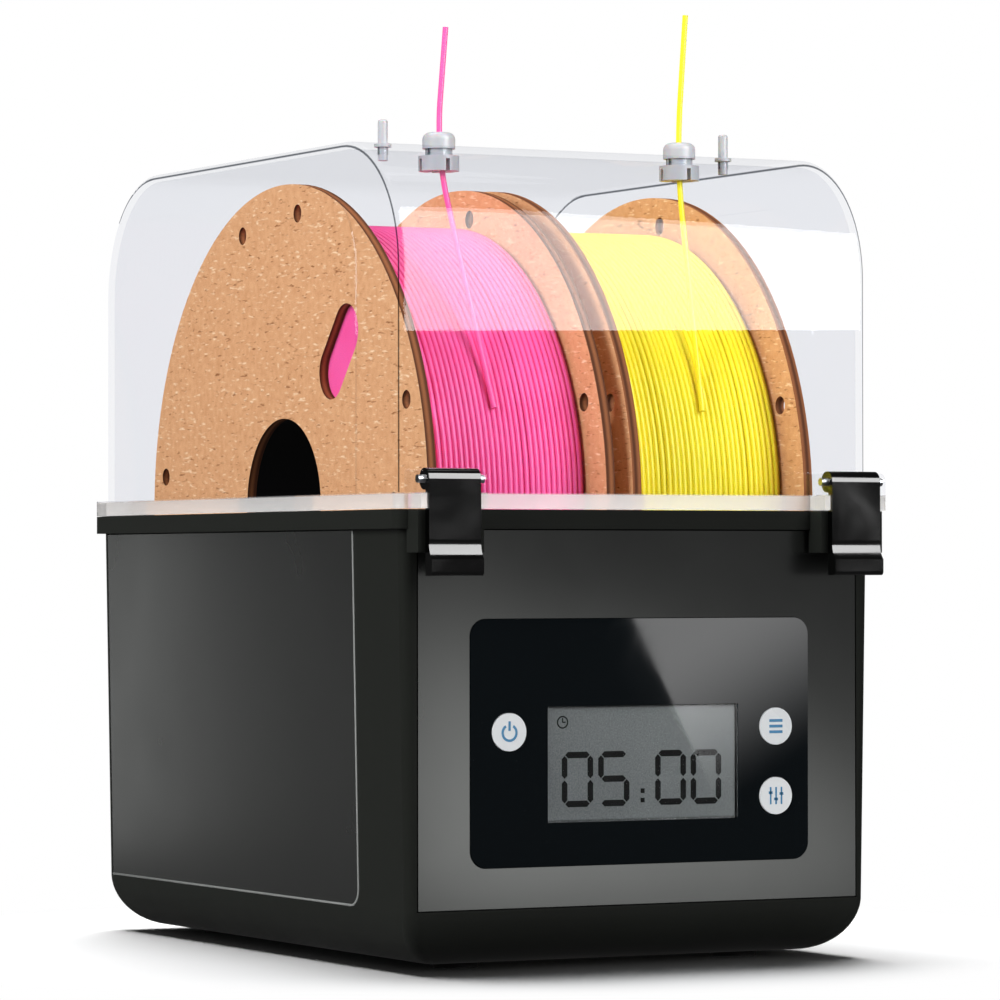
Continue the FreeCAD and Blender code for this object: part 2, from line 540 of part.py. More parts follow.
for side in SIDES.values():
    for z in BOARD_HOLE_Z:
        x = f"{side} * {BOARD_HOLE_X}"
        board.rod((x, f"{BOARD_Y} - cut_over", z), "y", "board_thick + 2 * cut_over",
                  "board_screw_radius + board_screw_clear", True)
        board_screws.rod((x, f"{BOARD_Y} - board_screw_in", z), "y",
                         "board_screw_in + board_thick + board_screw_head_tall / 2", "board_screw_radius")
        board_screws.rod((x, f"{BOARD_Y} + board_thick", z), "y", "board_screw_head_tall", "board_screw_head")
board.done()
board_screws.done()
switches = Piece("tact_switches")
for label, (x, z) in BUTTONS.items():
    button = Piece(label)
    button.rod((x, f"{BEZEL_Y} - button_proud", z), "y", "button_deep", "button_radius")
    button.done()
    switches.mid_box((x, f"{BOARD_Y} - switch_tall / 2", f"{z} - switch_side / 2"),
                     ("switch_side", "switch_tall", "switch_side"))
switches.done()

# Power inlet at the back, air sensor on the left wall
inlet = Piece("dc_socket")
inlet.mid_box(("inlet_x", f"{HALF_D} - inlet_deep / 2", "inlet_z - inlet_side / 2"),
              ("inlet_side", "inlet_deep", "inlet_side"))
inlet.rod(("inlet_x", f"{HALF_D} - inlet_bore_deep", "inlet_z"), "y", "inlet_bore_deep + cut_over",
          "inlet_bore", True)
inlet.staged()
inlet.rod(("inlet_x", f"{HALF_D} - inlet_bore_deep - inlet_pin_root", "inlet_z"), "y", "inlet_bore_deep",
          "inlet_pin")
inlet.done()
sensor = Piece("humidity_sensor")
sensor.mid_box((f"-{SENSOR_X} + sensor_thick / 2", "0", "sensor_z"),
               ("sensor_thick", "sensor_wide", "sensor_tall"))
sensor.done()

# Clear lid: shell with rounded front and back, stepped sides, rim, hinge knuckles, latch lugs, outlet holes
lid_z = size("base_height + lid_gap")
lid_side = size("lid_width / 2")
lid_top = size("lid_top")
lid = Piece("lid_shell")
lid.mid_box(("0", "0", "base_height + lid_gap"), ("lid_width", "lid_depth", "lid_height"))
lid.rounded("lid_round", lambda e: along(e, "x") and near(e.BoundBox.ZMin, lid_top))
lid.rounded("lid_edge_round", lambda e: near(e.BoundBox.XMin, e.BoundBox.XMax)
            and near(abs(e.BoundBox.XMin), lid_side) and e.BoundBox.ZMax > lid_z + 1)
rim(lid, "base_height + lid_gap", "lid_flange_height")
hollow_top = size("lid_top - lid_wall")
lid.mid_box(("0", "0", "base_height"), ("lid_width - 2 * lid_wall", "lid_depth - 2 * lid_wall",
                                        "lid_gap + lid_height - lid_wall"), True)
lid.rounded("lid_round - lid_wall", lambda e: along(e, "x") and near(e.BoundBox.ZMin, hollow_top), True)
STEP_FRONT = "-(lid_depth / 2) + lid_step_front"
step_y, step_z = size(STEP_FRONT), size("lid_top - lid_step_top")
for side in SIDES.values():
    x = "lid_width / 2 - lid_step" if side > 0 else "-lid_width / 2 - cut_over"
    low = "(base_height + lid_gap + lid_flange_height)"
    lid.box((x, STEP_FRONT, low),
            ("lid_step + cut_over", "lid_depth", f"lid_top - lid_step_top - {low}"), True)
    lid.rounded("lid_step_round", lambda e: along(e, "x") and near(e.BoundBox.YMin, step_y)
                and near(e.BoundBox.ZMin, step_z), True)
    lid.rod((f"{side} * outlet_x", "-outlet_y", "lid_top - 2 * lid_wall"), "z", "4 * lid_wall",
            "outlet_neck + outlet_clear", True)
    lid.rod((f"{side} * stopper_x", "-stopper_y", "lid_top - 2 * lid_wall"), "z", "4 * lid_wall",
            "stopper_radius + stopper_clear", True)
lid.staged()
latch_pins = Piece("latch_pins")
for name, side in SIDES.items():
    hinge_knuckle(lid, f"{side} * hinge_x - lid_knuckle / 2", "lid_knuckle", f"{HINGE_Z} + lid_gap",
                  "hinge_radius - lid_gap")
    lid.rod((f"{side} * hinge_x - lid_knuckle", HINGE_Y, HINGE_Z), "x", "2 * lid_knuckle",
            "hinge_pin_radius + pin_clear", True)
    low = "base_height + lid_gap"
    for end in ENDS.values():
        start = f"{side} * latch_x + {end} * (latch_width / 2 + lug_gap + lug_thick / 2) - lug_thick / 2"
        lid.box((start, LATCH_Y, low), ("lug_thick", f"-({LATCH_Y}) - {HALF_D}", "latch_pin_up + lug_round"))
        lid.box((start, f"{LATCH_Y} - lug_round", low), ("lug_thick", "2 * lug_round", "latch_pin_up"))
        lid.rod((start, LATCH_Y, LATCH_Z), "x", "lug_thick", "lug_round")
    whole = "(latch_width + 2 * lug_gap + 2 * lug_thick)"
    lid.rod((f"{side} * latch_x - {whole} / 2 - cut_over", LATCH_Y, LATCH_Z), "x", f"{whole} + 2 * cut_over",
            "latch_pin_radius + pin_clear", True)
    latch_pins.rod((f"{side} * latch_x - {whole} / 2", LATCH_Y, LATCH_Z), "x", whole, "latch_pin_radius")
    # snap latch: knuckle, plate down over the catch, finger lip with a shallow scoop above it
    latch = Piece(f"{name}_latch")
    start = f"{side} * latch_x - latch_width / 2"
    face = f"{LATCH_Y} - latch_knuckle"
    latch.rod((start, LATCH_Y, LATCH_Z), "x", "latch_width", "latch_knuckle")
    latch.box((start, face, "latch_foot"), ("latch_width", "latch_plate", f"{LATCH_Z} - latch_foot"))
    latch.box((start, f"{face} - latch_lip", "latch_foot"),
              ("latch_width", "latch_lip + latch_plate", "latch_lip_tall"))
    lip_y, lip_z = size(f"{face} - latch_lip"), size("latch_foot")
    latch.rounded("latch_lip_round", lambda e: along(e, "x") and near(e.BoundBox.YMax, lip_y)
                  and near(e.BoundBox.ZMax, lip_z))
    past = (f"{start} - cut_over", "latch_width + 2 * cut_over")
    latch.rod((past[0], f"{face} - latch_scoop + latch_scoop_deep", "latch_scoop_z"), "x", past[1],
              "latch_scoop", True)
    latch.rod((past[0], LATCH_Y, LATCH_Z), "x", past[1], "latch_pin_radius + pin_clear", True)
    latch.done()
    # outlet grommet: cap above the lid, neck through it, slit collar below
    grommet = Piece(f"{name}_grommet")
    at = (f"{side} * outlet_x", "-outlet_y")
    grommet.rod((*at, "lid_top"), "z", "outlet_cap_tall", "outlet_cap")
    cap_top = size("lid_top + outlet_cap_tall")
    grommet.rounded("outlet_cap_round", lambda e: near(e.BoundBox.ZMin, cap_top))
    collar_low = "lid_top - lid_wall - outlet_collar_tall"
    grommet.rod((*at, collar_low), "z", "lid_wall + outlet_collar_tall + outlet_cap_tall / 2", "outlet_neck")
    grommet.rod((*at, collar_low), "z", "outlet_collar_tall", "outlet_collar")
    grommet.rod((*at, f"{collar_low} - cut_over"), "z",
                "outlet_collar_tall + lid_wall + outlet_cap_tall + 2 * cut_over", "outlet_bore", True)
    slit_low = f"{collar_low} - cut_over"
    grommet.mid_box((*at, slit_low), ("outlet_slit", "3 * outlet_collar", "outlet_collar_tall"), True)
    grommet.mid_box((*at, slit_low), ("3 * outlet_collar", "outlet_slit", "outlet_collar_tall"), True)
    grommet.done()
    # spare stopper parked beside the outlet
    stopper = Piece(f"{name}_stopper")
    at = (f"{side} * stopper_x", "-stopper_y")
    stopper.rod((*at, "lid_top - stopper_in"), "z", "stopper_in + stopper_tall", "stopper_radius")
    stop_top = size("lid_top + stopper_tall")
    stopper.rounded("stopper_round", lambda e: near(e.BoundBox.ZMin, stop_top))
    stopper.rod((*at, "lid_top + stopper_clear"), "z", "stopper_skirt_tall", "stopper_skirt")
    stopper.done()
lid.done()
latch_pins.done()


def along_points(radius, turn):
    """A point on the spool's side, from a radius and an angle seen from the left."""
    return (f"{radius} * cos({turn} deg)", f"spool_z + {radius} * sin({turn} deg)")


def arc_through(path, t0, t1):
    """One smooth piece of a path between two of its values, as two arcs that meet without a corner."""
    step = 1e-4
    p0, p1 = path(t0), path(t1)
    d0 = (path(t0 + step) - path(t0 - step)).normalize()
    d1 = (path(t1 + step) - path(t1 - step)).normalize()
    chord = p1 - p0
    both = chord.dot(d0 + d1)
    square = 2 * (1 - d0.dot(d1))
    reach = (-both + math.sqrt(both * both + square * chord.dot(chord))) / square
    mid = (p0 + d0 * reach + p1 - d1 * reach) * 0.5

    def arc_from(a, direction, b):
        """The arc that leaves a along direction and ends at b."""
        span = b - a
        unit = span * (1 / span.Length)
        side = direction - unit * direction.dot(unit)
        if side.Length < 1e-9:
            return Part.LineSegment(a, b).toShape()
        cosine = max(-1.0, min(1.0, direction.dot(unit)))
        bulge = span.Length / 2 * math.tan(math.acos(cosine) / 2)
        return Part.Arc(a, (a + b) * 0.5 + side.normalize() * bulge, b).toShape()

    first = arc_from(p0, d0, mid)
    last = arc_from(p1, d1 * -1, mid)
    last.reverse()
    return [first, last]


def tube(edges, start, direction, radius, sides=0):
    """One unbroken tube along joined edges, round or with a number of flat sides."""
    wire = Part.Wire(edges)
    circle = Part.Circle(start, direction, radius)
    if sides:
        corners = [circle.value(2 * math.pi * k / sides) for k in range(sides)]
        ring = Part.makePolygon(corners + corners[:1])
    else:
        ring = Part.Wire(circle.toShape())
    made = Part.BRepOffsetAPI.MakePipeShell(wire)
    made.add(ring)
    made.build()
    made.makeSolid()
    return made.shape()


def plain(label, shape):
    """A form that no ready-made solid gives, kept under its node name."""
    made = doc.addObject("Part::Feature", label)
    made.Shape = shape
    made.Label = label
    NODES.append(made)
    return made


# Spools: two card flanges, a core tube, the wound filament inside and its outer layer of turns
QUARTERS = 4
TURN_SIDES = 8
for name, side in SIDES.items():
    low_x = "spool_space / 2" if side > 0 else "-(spool_space / 2 + spool_width)"
    flange_at = {"left": low_x, "right": f"{low_x} + spool_width - flange_thick"}
    for flange_side, x in flange_at.items():
        flange = Piece(f"{name}_spool_{flange_side}_flange")
        flange.rod((x, "0", "spool_z"), "x", "flange_thick", "spool_radius")
        cut_x, cut_long = f"{x} - cut_over", "flange_thick + 2 * cut_over"
        flange.rod((cut_x, "0", "spool_z"), "x", cut_long, "hub_radius", True)
        for quarter in (0, 90, 180, 270):
            for pair in (-1, 1):
                turn = size(f"hole_turn_degrees + {pair} * hole_pair_degrees") + quarter
                y, z = along_points("flange_hole_at", turn)
                flange.rod((cut_x, y, z), "x", cut_long, "flange_hole", True)
        for half in (0, 180):
            turn = size("slot_turn_degrees") + half
            for radius in ("slot_low", "slot_high"):
                y, z = along_points(radius, turn)
                flange.rod((cut_x, y, z), "x", cut_long, "slot_radius", True)
            y, z = along_points("slot_low", turn)
            corner = (cut_x, f"{y} + slot_radius * sin({turn} deg)", f"{z} - slot_radius * cos({turn} deg)")
            flange.box(corner, (cut_long, "slot_high - slot_low", "2 * slot_radius"), True,
                       FreeCAD.Rotation(V(1, 0, 0), turn))
        flange.done()
    inner_x = f"{low_x} + flange_thick"
    core = Piece(f"{name}_spool_core")
    core.rod((inner_x, "0", "spool_z"), "x", WOUND_WIDTH, "core_radius")
    cut_x, cut_long = f"{inner_x} - cut_over", f"{WOUND_WIDTH} + 2 * cut_over"
    core.rod((cut_x, "0", "spool_z"), "x", cut_long, "hub_radius", True)
    core.done()
    fill = Piece(f"{name}_filament_fill")
    fill.rod((f"{inner_x} + core_gap", "0", "spool_z"), "x", f"{WOUND_WIDTH} - 2 * core_gap",
             "wound_radius - filament - wound_gap")
    fill.rod((cut_x, "0", "spool_z"), "x", cut_long, "core_radius + wound_gap", True)
    fill.done()
    # outer layer, one unbroken tube of turns laid side by side
    turns = int(size("turn_count"))
    wound = size("wound_radius - filament / 2")
    side_room = size("wound_gap + filament / 2")
    first_x = size(inner_x) + side_room
    pitch = (size(WOUND_WIDTH) - 2 * side_room) / turns
    middle_z = size("spool_z")

    def path(t, first_x=first_x, pitch=pitch):
        angle = 2 * math.pi * t
        return V(first_x + pitch * t, wound * math.cos(angle), middle_z + wound * math.sin(angle))

    edges = []
    for n in range(turns * QUARTERS):
        edges += arc_through(path, n / QUARTERS, (n + 1) / QUARTERS)
    start_way = (path(1e-4) - path(-1e-4)).normalize()
    plain(f"{name}_filament_turns", tube(edges, path(0), start_way, size("filament / 2"), TURN_SIDES))

# Filament strands: off the winding, through the outlet, free end in the air
BEND_SHARE = 0.45
for name, side in SIDES.items():
    lay = size("wound_radius + filament / 2 + strand_gap")
    corner = V(side * size("outlet_x"), size("-outlet_y + strand_bow"), size("lid_top - strand_corner_drop"))
    off_y, off_z = corner.y, corner.z - size("spool_z")
    turn = math.atan2(off_z, off_y) + math.acos(lay / math.hypot(off_y, off_z))
    start = V(side * size("strand_x"), lay * math.cos(turn), size("spool_z") + lay * math.sin(turn))
    end_z = size(f"lid_top + {name}_strand_up")
    end = V(corner.x + size("strand_lean_x"), corner.y - size("strand_lean_y"), end_z)
    way_in = (corner - start).normalize()
    way_out = (end - corner).normalize()
    half_turn = math.acos(way_in.dot(way_out)) / 2
    reach = BEND_SHARE * min((corner - start).Length, (end - corner).Length)
    bend = reach / math.tan(half_turn)
    begin, leave = corner - way_in * reach, corner + way_out * reach
    inward = (way_out - way_in).normalize()
    crown = corner + inward * (bend / math.cos(half_turn) - bend)
    edges = [Part.LineSegment(start, begin).toShape(), Part.Arc(begin, crown, leave).toShape(),
             Part.LineSegment(leave, end).toShape()]
    plain(f"{name}_strand", tube(edges, start, way_in, size("filament / 2")))
    long = sum(e.Length for e in edges)
    print(f"{name} strand {tuple(start)} {tuple(corner)} {tuple(end)} length {long:.2f} bend {bend:.1f}")

# Checks each piece and writes one file per node
doc.recompute()
os.makedirs(OUT, exist_ok=True)
for item in doc.Objects:
    if "Invalid" in item.State or "Error" in item.State:
        raise RuntimeError(f"{item.Label}: {item.State}")
for node in NODES:
    if node.Shape.isNull() or not node.Shape.isValid() or not node.Shape.Solids:
        raise RuntimeError(f"{node.Label}: not a sound solid")
    node.Shape.exportStep(os.path.join(OUT, f"{node.Label}.step"))
print(len(NODES), "nodes")
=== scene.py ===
"""Looks of the filament dryer box: finishes, wound filament, strands, display marks and studio."""
import json
import math
import random

import bmesh
import bpy
from mathutils import Matrix, Vector

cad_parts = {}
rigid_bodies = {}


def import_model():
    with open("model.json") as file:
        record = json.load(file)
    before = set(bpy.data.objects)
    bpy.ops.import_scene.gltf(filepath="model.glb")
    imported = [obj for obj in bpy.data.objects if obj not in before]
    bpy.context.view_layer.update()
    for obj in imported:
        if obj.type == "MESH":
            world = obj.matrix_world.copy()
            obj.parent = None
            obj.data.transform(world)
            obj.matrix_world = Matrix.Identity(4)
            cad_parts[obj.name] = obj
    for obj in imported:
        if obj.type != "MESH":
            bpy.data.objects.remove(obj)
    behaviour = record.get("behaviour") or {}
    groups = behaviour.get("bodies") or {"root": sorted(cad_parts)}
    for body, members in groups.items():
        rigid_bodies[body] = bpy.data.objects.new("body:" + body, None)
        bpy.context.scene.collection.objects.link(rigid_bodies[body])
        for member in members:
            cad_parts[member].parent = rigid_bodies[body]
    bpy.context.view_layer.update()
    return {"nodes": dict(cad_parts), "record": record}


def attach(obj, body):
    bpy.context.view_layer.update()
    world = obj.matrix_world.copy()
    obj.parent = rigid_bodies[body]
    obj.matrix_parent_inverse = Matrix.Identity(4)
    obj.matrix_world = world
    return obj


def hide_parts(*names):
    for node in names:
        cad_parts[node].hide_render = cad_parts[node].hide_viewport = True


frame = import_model()
MM = 0.001

# The places below repeat the source's own sizes, in millimetres
SPOOL_Z = 138.6
WOUND_RADIUS = 88.0
FILAMENT = 1.75
BEZEL_FACE = -111.0
LCD_FACE = -109.6
BUTTON_PROUD = 0.4

# How far new pieces sit in the solids that carry them, so that no gap shows
BEDDED = 0.02


# Wiring helpers

def put(tree, kind, inputs=None, **settings):
    """A shader node with its settings, and each input set to a value or joined to a socket."""
    made = tree.nodes.new(kind)
    for key, value in settings.items():
        setattr(made, key, value)
    for key, value in (inputs or {}).items():
        if isinstance(value, bpy.types.NodeSocket):
            tree.links.new(value, made.inputs[key])
        else:
            made.inputs[key].default_value = value
    return made


def effect(name, inputs, outputs):
    """An empty shader group with named number sockets, and its two end nodes."""
    tree = bpy.data.node_groups.new(name, "ShaderNodeTree")
    for label, start in inputs.items():
        socket = tree.interface.new_socket(name=label, in_out="INPUT", socket_type="NodeSocketFloat")
        socket.default_value = start
    for label in outputs:
        tree.interface.new_socket(name=label, in_out="OUTPUT", socket_type="NodeSocketFloat")
    return tree, tree.nodes.new("NodeGroupInput").outputs, tree.nodes.new("NodeGroupOutput")


def place(tree, group, **inputs):
    """One use of a shared effect, with its own values."""
    made = tree.nodes.new("ShaderNodeGroup")
    made.node_tree = group
    for label, value in inputs.items():
        made.inputs[label].default_value = value
    return made.outputs


def blended(tree, mask, first, second):
    """A colour between two, by a mask."""
    made = put(tree, "ShaderNodeMix", data_type="RGBA")
    for socket, value in zip((made.inputs[0], made.inputs[6], made.inputs[7]), (mask, first, second)):
        if isinstance(value, bpy.types.NodeSocket):
            tree.links.new(value, socket)
        else:
            socket.default_value = value
    return made.outputs[2]


def spread(tree, value, low, high, to_low, to_high):
    """A value stretched from one range to another."""
    made = put(tree, "ShaderNodeMapRange", {"Value": value, "From Min": low, "From Max": high,
                                            "To Min": to_low, "To Max": to_high})
    return made.outputs["Result"]


# Shared effects

def moulded_grain():
    """Fine spark-erosion grain of moulded plastic, and a slow drift of tone and gloss over it."""
    tree, into, out = effect("moulded grain",
                             {"Grain": 1400.0, "Drift": 18.0, "Matt": 0.45, "Gloss": 0.35},
                             ("Height", "Roughness", "Tone"))
    spot = put(tree, "ShaderNodeTexCoord").outputs["Object"]
    fine = put(tree, "ShaderNodeTexNoise",
               {"Vector": spot, "Scale": into["Grain"], "Detail": 3.0, "Roughness": 0.6})
    slow = put(tree, "ShaderNodeTexNoise",
               {"Vector": spot, "Scale": into["Drift"], "Detail": 4.0, "Roughness": 0.55})
    tree.links.new(fine.outputs["Fac"], out.inputs["Height"])
    rough = put(tree, "ShaderNodeMapRange",
                {"Value": slow.outputs["Fac"], "From Min": 0.3, "From Max": 0.7,
                 "To Min": into["Gloss"], "To Max": into["Matt"]})
    tree.links.new(rough.outputs["Result"], out.inputs["Roughness"])
    tree.links.new(slow.outputs["Fac"], out.inputs["Tone"])
    return tree


def finger_marks():
    """Faint smears and dust specks on polished plastic and glass."""
    tree, into, out = effect("finger marks", {"Smear": 30.0, "Clean": 0.02, "Smeared": 0.08},
                             ("Roughness", "Dust"))
    spot = put(tree, "ShaderNodeTexCoord").outputs["Object"]
    smear = put(tree, "ShaderNodeTexNoise",
                {"Vector": spot, "Scale": into["Smear"], "Detail": 5.0, "Distortion": 1.2})
    rough = put(tree, "ShaderNodeMapRange",
                {"Value": smear.outputs["Fac"], "From Min": 0.45, "From Max": 0.75,
                 "To Min": into["Clean"], "To Max": into["Smeared"]})
    tree.links.new(rough.outputs["Result"], out.inputs["Roughness"])
    specks = put(tree, "ShaderNodeTexVoronoi", {"Vector": spot, "Scale": 260.0})
    tree.links.new(spread(tree, specks.outputs["Distance"], 0.03, 0.06, 1.0, 0.0), out.inputs["Dust"])
    return tree


def card_fibre():
    """Recycled card: long pale and dark fibres over a mottled brown, with stacked plies on cut edges."""
    tree, into, out = effect("card fibre", {"Fibres": 700.0, "Ply": 2600.0},
                             ("Pale", "Dark", "Height", "Cut edge", "Plies"))
    coords = put(tree, "ShaderNodeTexCoord")
    spot = coords.outputs["Object"]
    for label, turn, low, high in (("Pale", 0.5, 0.60, 0.72), ("Dark", -0.9, 0.62, 0.74)):
        laid = put(tree, "ShaderNodeMapping",
                   {"Vector": spot, "Rotation": (turn, 0.2, 0.1), "Scale": (1.0, 0.35, 1.6)})
        fibre = put(tree, "ShaderNodeTexNoise",
                    {"Vector": laid.outputs["Vector"], "Scale": into["Fibres"], "Detail": 2.0})
        tree.links.new(spread(tree, fibre.outputs["Fac"], low, high, 0.0, 1.0), out.inputs[label])
    pulp = put(tree, "ShaderNodeTexNoise", {"Vector": spot, "Scale": 420.0, "Detail": 6.0})
    tree.links.new(pulp.outputs["Fac"], out.inputs["Height"])
    facing = put(tree, "ShaderNodeSeparateXYZ", {"Vector": coords.outputs["Normal"]})
    flat = put(tree, "ShaderNodeMath", {0: facing.outputs["X"]}, operation="ABSOLUTE")
    tree.links.new(spread(tree, flat.outputs[0], 0.3, 0.8, 1.0, 0.0), out.inputs["Cut edge"])
    across = put(tree, "ShaderNodeSeparateXYZ", {"Vector": spot})
    ply = put(tree, "ShaderNodeMath", {0: across.outputs["X"], 1: into["Ply"]}, operation="MULTIPLY")
    wave = put(tree, "ShaderNodeMath", {0: ply.outputs[0]}, operation="SINE")
    tree.links.new(spread(tree, wave.outputs[0], -1.0, 1.0, 0.0, 1.0), out.inputs["Plies"])
    return tree


GRAIN = moulded_grain()
MARKS = finger_marks()
FIBRE = card_fibre()


# Finishes

def finish(name, **constants):
    """A new material with its shader, whose plain values are set on the shader's own sockets."""
    made = bpy.data.materials.new(name)
    made.use_nodes = True
    tree = made.node_tree
    tree.nodes.clear()
    shader = put(tree, "ShaderNodeBsdfPrincipled")
    for key, value in constants.items():
        shader.inputs[key.replace("_", " ")].default_value = value
    tree.links.new(shader.outputs[0], put(tree, "ShaderNodeOutputMaterial").inputs["Surface"])
    return made, tree, shader


def bumped(tree, shader, height, strength, distance):
    """Relief from a height, in metres."""
    bump = put(tree, "ShaderNodeBump", {"Height": height, "Strength": strength, "Distance": distance})
    tree.links.new(bump.outputs["Normal"], shader.inputs["Normal"])


def rgb(red, green, blue):
    """A colour given in screen values, 0 to 255."""
    def straight(v):
        v /= 255
        return v / 12.92 if v <= 0.04045 else ((v + 0.055) / 1.055) ** 2.4
    return (straight(red), straight(green), straight(blue), 1.0)


def moulded(name, deep, pale, grain=1400.0, gloss=0.35, matt=0.45, relief=0.00003, **constants):
    """Moulded plastic: two close tones, fine grain and uneven gloss."""
    made, tree, shader = finish(name, **constants)
    skin = place(tree, GRAIN, Grain=grain, Gloss=gloss, Matt=matt)
    tree.links.new(blended(tree, skin["Tone"], deep, pale), shader.inputs["Base Color"])
    tree.links.new(skin["Roughness"], shader.inputs["Roughness"])
    bumped(tree, shader, skin["Height"], 0.35, relief)
    return made


def polished(name, deep, pale, clean, smeared, dust=0.04, **constants):
    """Polished plastic with finger marks and a little dust."""
    made, tree, shader = finish(name, **constants)
    skin = place(tree, MARKS, Clean=clean, Smeared=smeared)
    dusty = put(tree, "ShaderNodeMath", {0: skin["Dust"], 1: dust}, operation="MULTIPLY")
    tree.links.new(blended(tree, dusty.outputs[0], deep, pale), shader.inputs["Base Color"])
    tree.links.new(skin["Roughness"], shader.inputs["Roughness"])
    return made


def clear_plastic(name, tint, clean, smeared, ior):
    """Clear plastic that lets light through."""
    made, tree, shader = finish(name, Transmission_Weight=1.0, IOR=ior)
    skin = place(tree, MARKS, Clean=clean, Smeared=smeared, Smear=14.0)
    dusty = put(tree, "ShaderNodeMath", {0: skin["Dust"], 1: 0.02}, operation="MULTIPLY")
    tree.links.new(blended(tree, dusty.outputs[0], tint, (1, 1, 1, 1)), shader.inputs["Base Color"])
    tree.links.new(skin["Roughness"], shader.inputs["Roughness"])
    out = next(n for n in tree.nodes if n.bl_idname == "ShaderNodeOutputMaterial")
    ray = put(tree, "ShaderNodeLightPath")
    through = put(tree, "ShaderNodeBsdfTransparent", {"Color": (0.95, 0.96, 0.97, 1)})
    mix = put(tree, "ShaderNodeMixShader", {0: ray.outputs["Is Shadow Ray"], 1: shader.outputs[0],
                                            2: through.outputs[0]})
    tree.links.new(mix.outputs[0], out.inputs["Surface"])
    return made


def clear_sheet(name, tint, edge_shade_tint, rim_glare_below):
    """Thin clear moulding that light crosses straight, with a shine that grows towards a grazing look.

    Its rounded edges start with a painted grey line, standing in for the shade a curved clear edge shows,
    and below a height in metres its rim turns milky, a painted stand-in for the bright reflections along
    the rim.
    """
    made, tree, shader = finish(name, IOR=1.3, Transmission_Weight=0.6, Base_Color=(0.72, 0.71, 0.70, 1))
    skin = place(tree, MARKS, Clean=0.0, Smeared=0.02, Smear=14.0)
    tree.links.new(skin["Roughness"], shader.inputs["Roughness"])
    coords = put(tree, "ShaderNodeTexCoord")
    facing = put(tree, "ShaderNodeSeparateXYZ", {"Vector": coords.outputs["Normal"]})
    sideways = put(tree, "ShaderNodeMath", {0: facing.outputs["X"]}, operation="ABSOLUTE").outputs[0]
    # Painted shade: a dark grey line is laid into the clear colour where the rounded edges begin,
    # standing in for the shade a curved clear edge shows
    starts = spread(tree, sideways, 0.88, 0.95, 0.0, 1.0)
    stops = spread(tree, sideways, 0.990, 0.9995, 1.0, 0.0)
    edge = put(tree, "ShaderNodeMath", {0: starts, 1: stops}, operation="MULTIPLY")
    edge_shaded = blended(tree, edge.outputs[0], tint, edge_shade_tint)
    dusty = put(tree, "ShaderNodeMath", {0: skin["Dust"], 1: 0.02}, operation="MULTIPLY")
    clear = blended(tree, dusty.outputs[0], edge_shaded, (0.8, 0.8, 0.8, 1))
    through = put(tree, "ShaderNodeBsdfTransparent", {"Color": clear})
    grazing = put(tree, "ShaderNodeLayerWeight", {"Blend": 0.5}).outputs["Facing"]
    steep = put(tree, "ShaderNodeMath", {0: grazing, 1: 5.0}, operation="POWER")
    mirror = put(tree, "ShaderNodeBsdfGlossy", {"Roughness": skin["Roughness"]})
    sheet = put(tree, "ShaderNodeMixShader", {0: spread(tree, steep.outputs[0], 0.0, 1.0, 0.02, 0.10),
                                              1: through.outputs[0], 2: mirror.outputs[0]})
    height = put(tree, "ShaderNodeSeparateXYZ", {"Vector": coords.outputs["Object"]}).outputs["Z"]
    # Painted reflection: below a height the sheet turns milky, standing in for the bright reflections
    # along the rim
    rim_glare = spread(tree, height, rim_glare_below, rim_glare_below + 0.0006, 0.9, 0.0)
    whole = put(tree, "ShaderNodeMixShader", {0: rim_glare, 1: sheet.outputs[0], 2: shader.outputs[0]})
    ray = put(tree, "ShaderNodeLightPath")
    lit = put(tree, "ShaderNodeBsdfTransparent", {"Color": (0.95, 0.96, 0.97, 1)})
    mix = put(tree, "ShaderNodeMixShader", {0: ray.outputs["Is Shadow Ray"], 1: whole.outputs[0],
                                            2: lit.outputs[0]})
    out = next(n for n in tree.nodes if n.bl_idname == "ShaderNodeOutputMaterial")
    tree.links.new(mix.outputs[0], out.inputs["Surface"])
    return made


def kraft_card():
    """Brown recycled card of the spool flanges."""
    made, tree, shader = finish("kraft card", Roughness=0.85, Specular_IOR_Level=0.2)
    fibre = place(tree, FIBRE)
    base = blended(tree, fibre["Height"], rgb(194, 136, 92), rgb(230, 178, 132))
    base = blended(tree, fibre["Pale"], base, rgb(238, 202, 164))
    base = blended(tree, fibre["Dark"], base, rgb(150, 98, 62))
    edge = blended(tree, fibre["Plies"], rgb(86, 48, 28), rgb(150, 92, 56))
    tree.links.new(blended(tree, fibre["Cut edge"], base, edge), shader.inputs["Base Color"])
    bumped(tree, shader, fibre["Height"], 0.5, 0.0001)
    return made


def filament_plastic(name, deep, pale):
    """Extruded filament: two close tones that drift slowly, and a soft shine."""
    made, tree, shader = finish(name, Subsurface_Weight=0.08, Subsurface_Scale=0.001,
                                Specular_IOR_Level=0.45)
    skin = place(tree, GRAIN, Grain=900.0, Drift=45.0, Gloss=0.28, Matt=0.42)
    tree.links.new(blended(tree, skin["Tone"], deep, pale), shader.inputs["Base Color"])
    tree.links.new(skin["Roughness"], shader.inputs["Roughness"])
    bumped(tree, shader, skin["Height"], 0.15, 0.00002)
    return made


def brushed(name, deep, pale, rough_low, rough_high):
    """Drawn or extruded metal with fine lines along X."""
    made, tree, shader = finish(name, Metallic=1.0)
    spot = put(tree, "ShaderNodeTexCoord").outputs["Object"]
    drawn = put(tree, "ShaderNodeMapping", {"Vector": spot, "Scale": (0.03, 1.0, 1.0)})
    lines = put(tree, "ShaderNodeTexNoise",
                {"Vector": drawn.outputs["Vector"], "Scale": 2500.0, "Detail": 2.0})
    tree.links.new(blended(tree, lines.outputs["Fac"], deep, pale), shader.inputs["Base Color"])
    rough = spread(tree, lines.outputs["Fac"], 0.3, 0.7, rough_low, rough_high)
    tree.links.new(rough, shader.inputs["Roughness"])
    bumped(tree, shader, lines.outputs["Fac"], 0.2, 0.00001)
    return made


